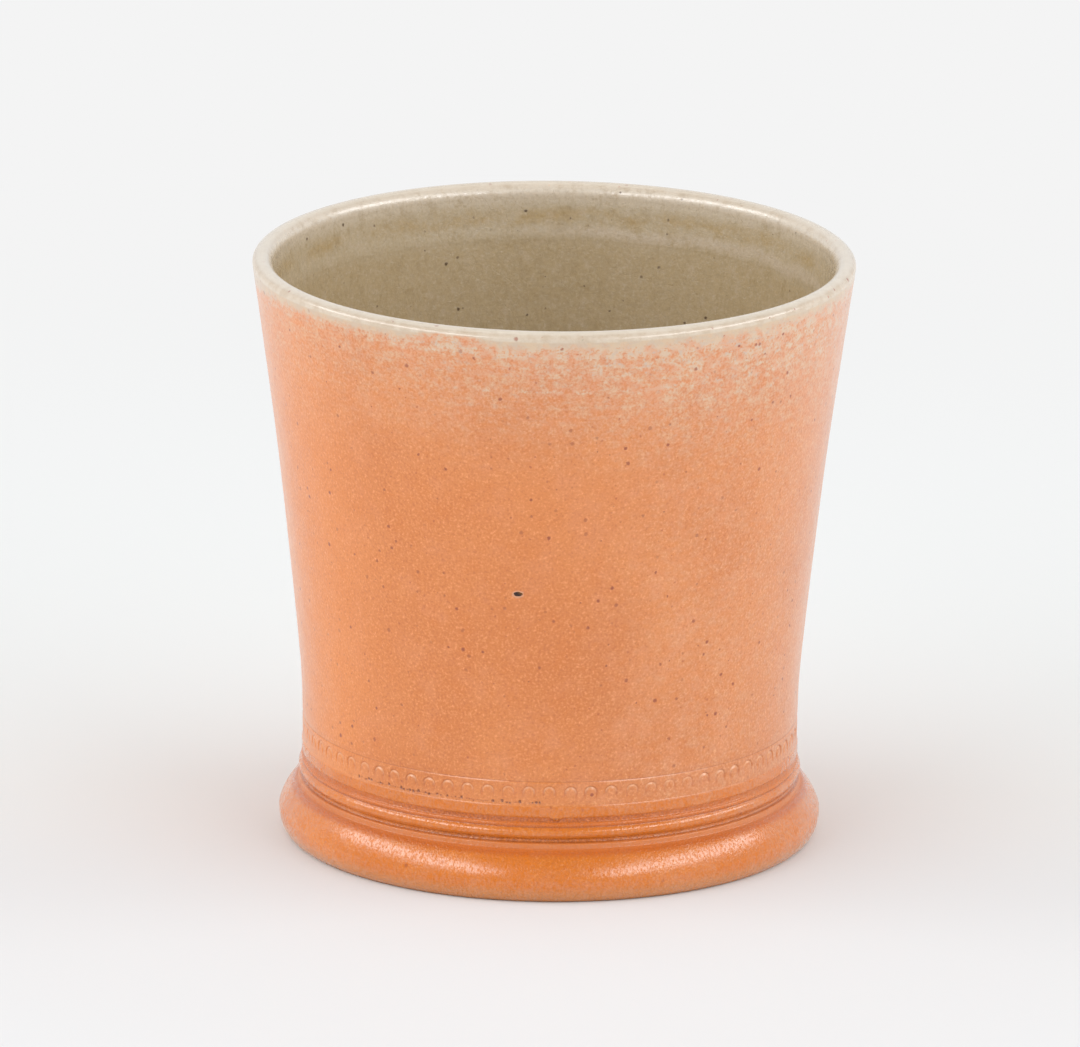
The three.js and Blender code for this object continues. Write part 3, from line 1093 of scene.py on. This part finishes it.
def iron_spot():
    """A blister of melted iron that stands a little out of the wall, flatter underneath."""
    rings, spokes = 10, 36
    turns = [FULL_TURN * spoke / spokes for spoke in range(spokes)]

    def on_wall(share, turn, lift):
        swell = 1 + 0.06 * math.sin(3 * turn + 1.0) + 0.04 * math.sin(5 * turn)
        across = share * swell * SPOT_HALF_WIDTH * math.cos(turn)
        up = share * swell * SPOT_HALF_HEIGHT * math.sin(turn)
        up *= 0.8 if up < 0 else 1.0
        side = math.degrees(across / wall_radius(SPOT_HEIGHT))
        return tuple(value * MM for value in spot_place(SPOT_ANGLE + side, SPOT_HEIGHT + up, lift))

    points, faces = [on_wall(0, 0, SPOT_RISE)], []
    for ring in range(1, rings + 1):
        share = ring / rings
        lift = SPOT_RISE * math.sqrt(max(0.0, 1 - share ** 2.4)) - 0.03 * share
        points += [on_wall(share, turn, lift) for turn in turns]
    points += [on_wall(0.9, turn, -SPOT_ROOT) for turn in turns]
    points.append(on_wall(0, 0, -SPOT_ROOT))
    for spoke in range(spokes):
        following = (spoke + 1) % spokes
        faces.append((0, 1 + spoke, 1 + following))
        for ring in range(rings):
            here = 1 + ring * spokes
            faces.append((here + spoke, here + spokes + spoke, here + spokes + following, here + following))
        deepest = 1 + rings * spokes
        faces.append((deepest + spoke, deepest + spokes, deepest + following))
    mesh = bpy.data.meshes.new("iron_spot")
    mesh.from_pydata(points, [], faces)
    mesh.shade_smooth()
    mesh.materials.append(IRON_SPOT)
    spot = placed("iron_spot", mesh)
    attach(spot, "root")


def throwing_ring(height):
    """A soft ring that the fingers left inside, steeper underneath."""
    above = (height - RING_HEIGHT) / RING_HALF_HEIGHT
    if above < 0:
        above *= 2.2
    return RING_PROUD * math.exp(-(above ** 2))


def liner_surface():
    """The liner's surface from its edge outside, over the lip and down to the floor's middle."""
    crest_radius = RIM_RADIUS - LIP_THICKNESS / 2
    lip_outside = quarter((crest_radius, LIP_BASE), LIP_THICKNESS / 2, LIP_RISE, 2.0, 12)
    inner_base = BEAKER_HEIGHT - LIP_INNER_DROP
    reach = inner_radius(inner_base) - crest_radius
    lip_inside = quarter((crest_radius, inner_base), reach, LIP_INNER_DROP, 2.0, LIP_INNER_STEPS)[::-1]
    corner_top = FLOOR_HEIGHT + FLOOR_CORNER_RADIUS
    corner_centre = (inner_radius(corner_top) - FLOOR_CORNER_RADIUS, corner_top)
    corner = quarter(corner_centre, FLOOR_CORNER_RADIUS, -FLOOR_CORNER_RADIUS, 2.0, 24)
    upper = [(wall_radius(h), h) for h in steps(SEAM_HEIGHT, LIP_BASE, 0.4)]
    down = [(inner_radius(h) - throwing_ring(h), h) for h in steps(inner_base, RING_ZONE_BOTTOM, 0.35)]
    down += [(inner_radius(h), h) for h in steps(RING_ZONE_BOTTOM, corner_top, 1.4)[1:]]
    floor = [(r, FLOOR_HEIGHT) for r in steps(corner_centre[0], 0.0, 0.85)]
    return upper + lip_outside[1:], lip_inside[1:] + down[1:] + corner[1:] + floor[1:]


def liner_piece():
    """The liner glaze, with its lining's colour coming in over the lip."""
    over, inside = liner_surface()
    front = over + inside
    back = thinned(inset(front, GLASS_DEPTH), 6)[::-1]
    if back[0][0] > 0.01:
        back.insert(0, (0.0, FLOOR_HEIGHT - GLASS_DEPTH))
    crest = len(back) + len(over) - 1

    def lining(i):
        share = min(1.0, max(0.0, (i - crest) / LIP_INNER_STEPS))
        return share * share * (3 - 2 * share)

    turned_piece(
        "liner_skin",
        back + front,
        (lambda i: float(i >= len(back)), lining),
        [(TURNING, {**waves(LINER_WAVE_DEPTH, 4.5, 22.0), "Spiral Rise": SPIRAL_RISE * MM})],
        LINER_GLAZE,
        ["liner_glaze"],
    )


def clay_piece():
    """The clay itself, closed all round: it shows under the roll, on the ring and in the recess."""
    roll = roll_line()
    bare = [place for place in roll if place[1] <= COAT_FOOT_CLEARANCE]
    covered = [place for place in roll if place[1] > COAT_FOOT_CLEARANCE]
    wall = [(wall_radius(h), h) for h in steps(ROLL_TOP + 0.6, SEAM_HEIGHT, 4.0)]
    over, inside = liner_surface()
    ring_inner = STANDING_RADIUS - STANDING_WIDTH
    under = [(r, RECESS_DEPTH) for r in steps(0.0, ring_inner - RECESS_SLOPE, 2.0)]
    under += [(ring_inner - RECESS_SLOPE * (1 - t), RECESS_DEPTH * (1 - t)) for t in (0.25, 0.5, 0.75)]
    under += [(r, 0.0) for r in steps(ring_inner, STANDING_RADIUS, 1.0)]
    line = under + bare[1:] + inset(covered + wall, CLAY_DEPTH) + inset(over + inside, CLAY_DEPTH)
    if line[-1][0] > 0.01:
        line.append((0.0, line[-1][1]))
    turned_piece(
        "stoneware_clay",
        line,
        (lambda i: 1.0, lambda i: 0.0),
        [(TURNING, {"Turn Steps": CLAY_TURN_STEPS})],
        BARE_STONEWARE,
        ["stoneware_body"],
    )


coat_pieces()
iron_spot()
liner_piece()
clay_piece()

# The picture: floor, light and camera
FLOOR_WIDTH = 12.0
FLOOR_FADE_FROM = 0.1
FLOOR_FADE_TO = 0.42
FLOOR_OPENING = STANDING_RADIUS * MM
# The floor is lighter and bluer near the pot and paler behind it: painted light in the pot's shadows
FLOOR_NEAR_PAINTED_LIGHT = (0.805, 0.835, 0.855, 1.0)
FLOOR_FURTHER = (0.805, 0.815, 0.825, 1.0)
FLOOR_BEHIND_PAINTED_LIGHT = (0.9, 0.92, 0.92, 1.0)
PAPER_WHITE = paint(244, 244, 244)
SOFTBOX_DISTANCE = 1.1
ROOM_LIGHT = 0.46
ROOM_SIDE_LIGHT = 0.46
ROOM_FRONT = 0.5
ROOM_BACK = 0.78
ROOM_OVERHEAD = 0.12
ROOM_DIMS_FROM = 0.42
ROOM_DIMS_TO = 0.8
CAMERA_AIM = Vector((-1.92, 0.0, 51.41)) * MM
CAMERA_DISTANCE = 2.8857
CAMERA_ELEVATION = math.radians(15.807)
CAMERA_ROLL = math.radians(0.531)
CAMERA_LENS = 590.2


def seen(wiring):
    """1 for what the camera sees, straight or in a mirror or glass, and 0 for what lights the pot."""
    path = wiring.node("ShaderNodeLightPath").outputs
    mirrored = wiring.larger(path["Is Glossy Ray"], path["Is Transmission Ray"])
    return wiring.larger(path["Is Camera Ray"], mirrored)


def pale_floor():
    """A pale floor, open where the pot covers it, so that light reaches the pot's underside. Its colour is
    painted lighter near the pot and behind it, as painted light in the pot's shadows.
    """
    half = FLOOR_WIDTH / 2
    mesh = bpy.data.meshes.new("floor")
    corners = [(-half, -half, 0), (half, -half, 0), (half, half, 0), (-half, half, 0)]
    mesh.from_pydata(corners, [], [(0, 1, 2, 3)])
    material, wiring, shader = new_material("pale_floor")
    shader.inputs["Roughness"].default_value = 0.7
    shader.inputs["Specular IOR Level"].default_value = 0.2
    spot = wiring.give("ShaderNodeTexCoord", None, "Object") * (1.0, 1.0, 0.0)
    away = wiring.reach(spot)
    backward = wiring.split(spot)[1]
    # Painted light: lighter and bluer near the pot, paler behind it
    further = (away.ramp(0.06, 0.13), FLOOR_FURTHER)
    painted_light_behind_pot = (backward.ramp(-0.045, 0.03), FLOOR_BEHIND_PAINTED_LIGHT)
    wiring.feed(shader.inputs["Base Color"], wiring.layered(FLOOR_NEAR_PAINTED_LIGHT, further, painted_light_behind_pot))
    far = seen(wiring) * away.ramp(FLOOR_FADE_FROM, FLOOR_FADE_TO)
    paper = wiring.give("ShaderNodeEmission", {"Color": PAPER_WHITE, "Strength": 1.0})
    surface = wiring.give("ShaderNodeMixShader", {0: far, 1: shader.outputs[0], 2: paper})
    from_below = wiring.give("ShaderNodeNewGeometry", None, "Backfacing")
    open_here = wiring.larger(from_below, wiring.math("LESS_THAN", away, FLOOR_OPENING))
    clear = wiring.give("ShaderNodeBsdfTransparent")
    choice = wiring.give("ShaderNodeMixShader", {0: open_here, 1: surface, 2: clear})
    wiring.feed(material.node_tree.nodes["Material Output"].inputs["Surface"], choice)
    mesh.materials.append(material)
    floor = placed("floor", mesh)


def softbox(name, azimuth, elevation, width, height, power):
    """A soft lamp on a stand, turned to the pot. Azimuth 0 is the camera's side."""
    data = bpy.data.lights.new(name, "AREA")
    data.shape = "RECTANGLE"
    data.size = width
    data.size_y = height
    data.energy = power
    around, up = math.radians(azimuth), math.radians(elevation)
    away = Vector((math.sin(around) * math.cos(up), -math.cos(around) * math.cos(up), math.sin(up)))
    lamp = placed(name, data)
    lamp.location = Vector((0, 0, 0.05)) + away * SOFTBOX_DISTANCE
    lamp.rotation_mode = "QUATERNION"
    lamp.rotation_quaternion = away.to_track_quat("Z", "Y")


def pale_room():
    """Soft light, stronger from the sides. The glaze mirrors a pale backdrop and a room dim overhead."""
    world = bpy.data.worlds.new("pale_room")
    world.use_nodes = True
    bpy.context.scene.world = world
    wiring = Wiring(world.node_tree)
    background = world.node_tree.nodes["Background"]
    background.inputs["Color"].default_value = (1.0, 1.0, 1.0, 1.0)
    sideways, backward, upward = wiring.split(wiring.give("ShaderNodeTexCoord", None, "Generated"))
    lighting = abs(sideways) * ROOM_SIDE_LIGHT + ROOM_LIGHT
    low_down = backward.ramp(0.0, 0.6, ROOM_FRONT, ROOM_BACK)
    room = upward.ramp(ROOM_DIMS_FROM, ROOM_DIMS_TO, low_down, ROOM_OVERHEAD)
    wiring.feed(background.inputs["Strength"], wiring.between(seen(wiring), lighting, room))


def photograph_camera():
    data = bpy.data.cameras.new("camera")
    data.sensor_width = 36.0
    data.lens = CAMERA_LENS
    data.clip_start = 0.05
    data.clip_end = 50.0
    camera = placed("camera", data)
    back = Vector((0, -math.cos(CAMERA_ELEVATION), math.sin(CAMERA_ELEVATION)))
    camera.location = CAMERA_AIM + back * CAMERA_DISTANCE
    camera.rotation_mode = "QUATERNION"
    camera.rotation_quaternion = back.to_track_quat("Z", "Y") @ Quaternion((0, 0, 1), CAMERA_ROLL)
    bpy.context.scene.camera = camera


pale_floor()
softbox("softbox_left", -66, 33, 1.7, 0.28, 6.4)
softbox("softbox_right", 66, 31, 1.7, 0.28, 6.2)
softbox("softbox_above", 0, 89, 1.0, 1.0, 0.6)
pale_room()
photograph_camera()
bpy.context.scene.view_settings.view_transform = "Standard"
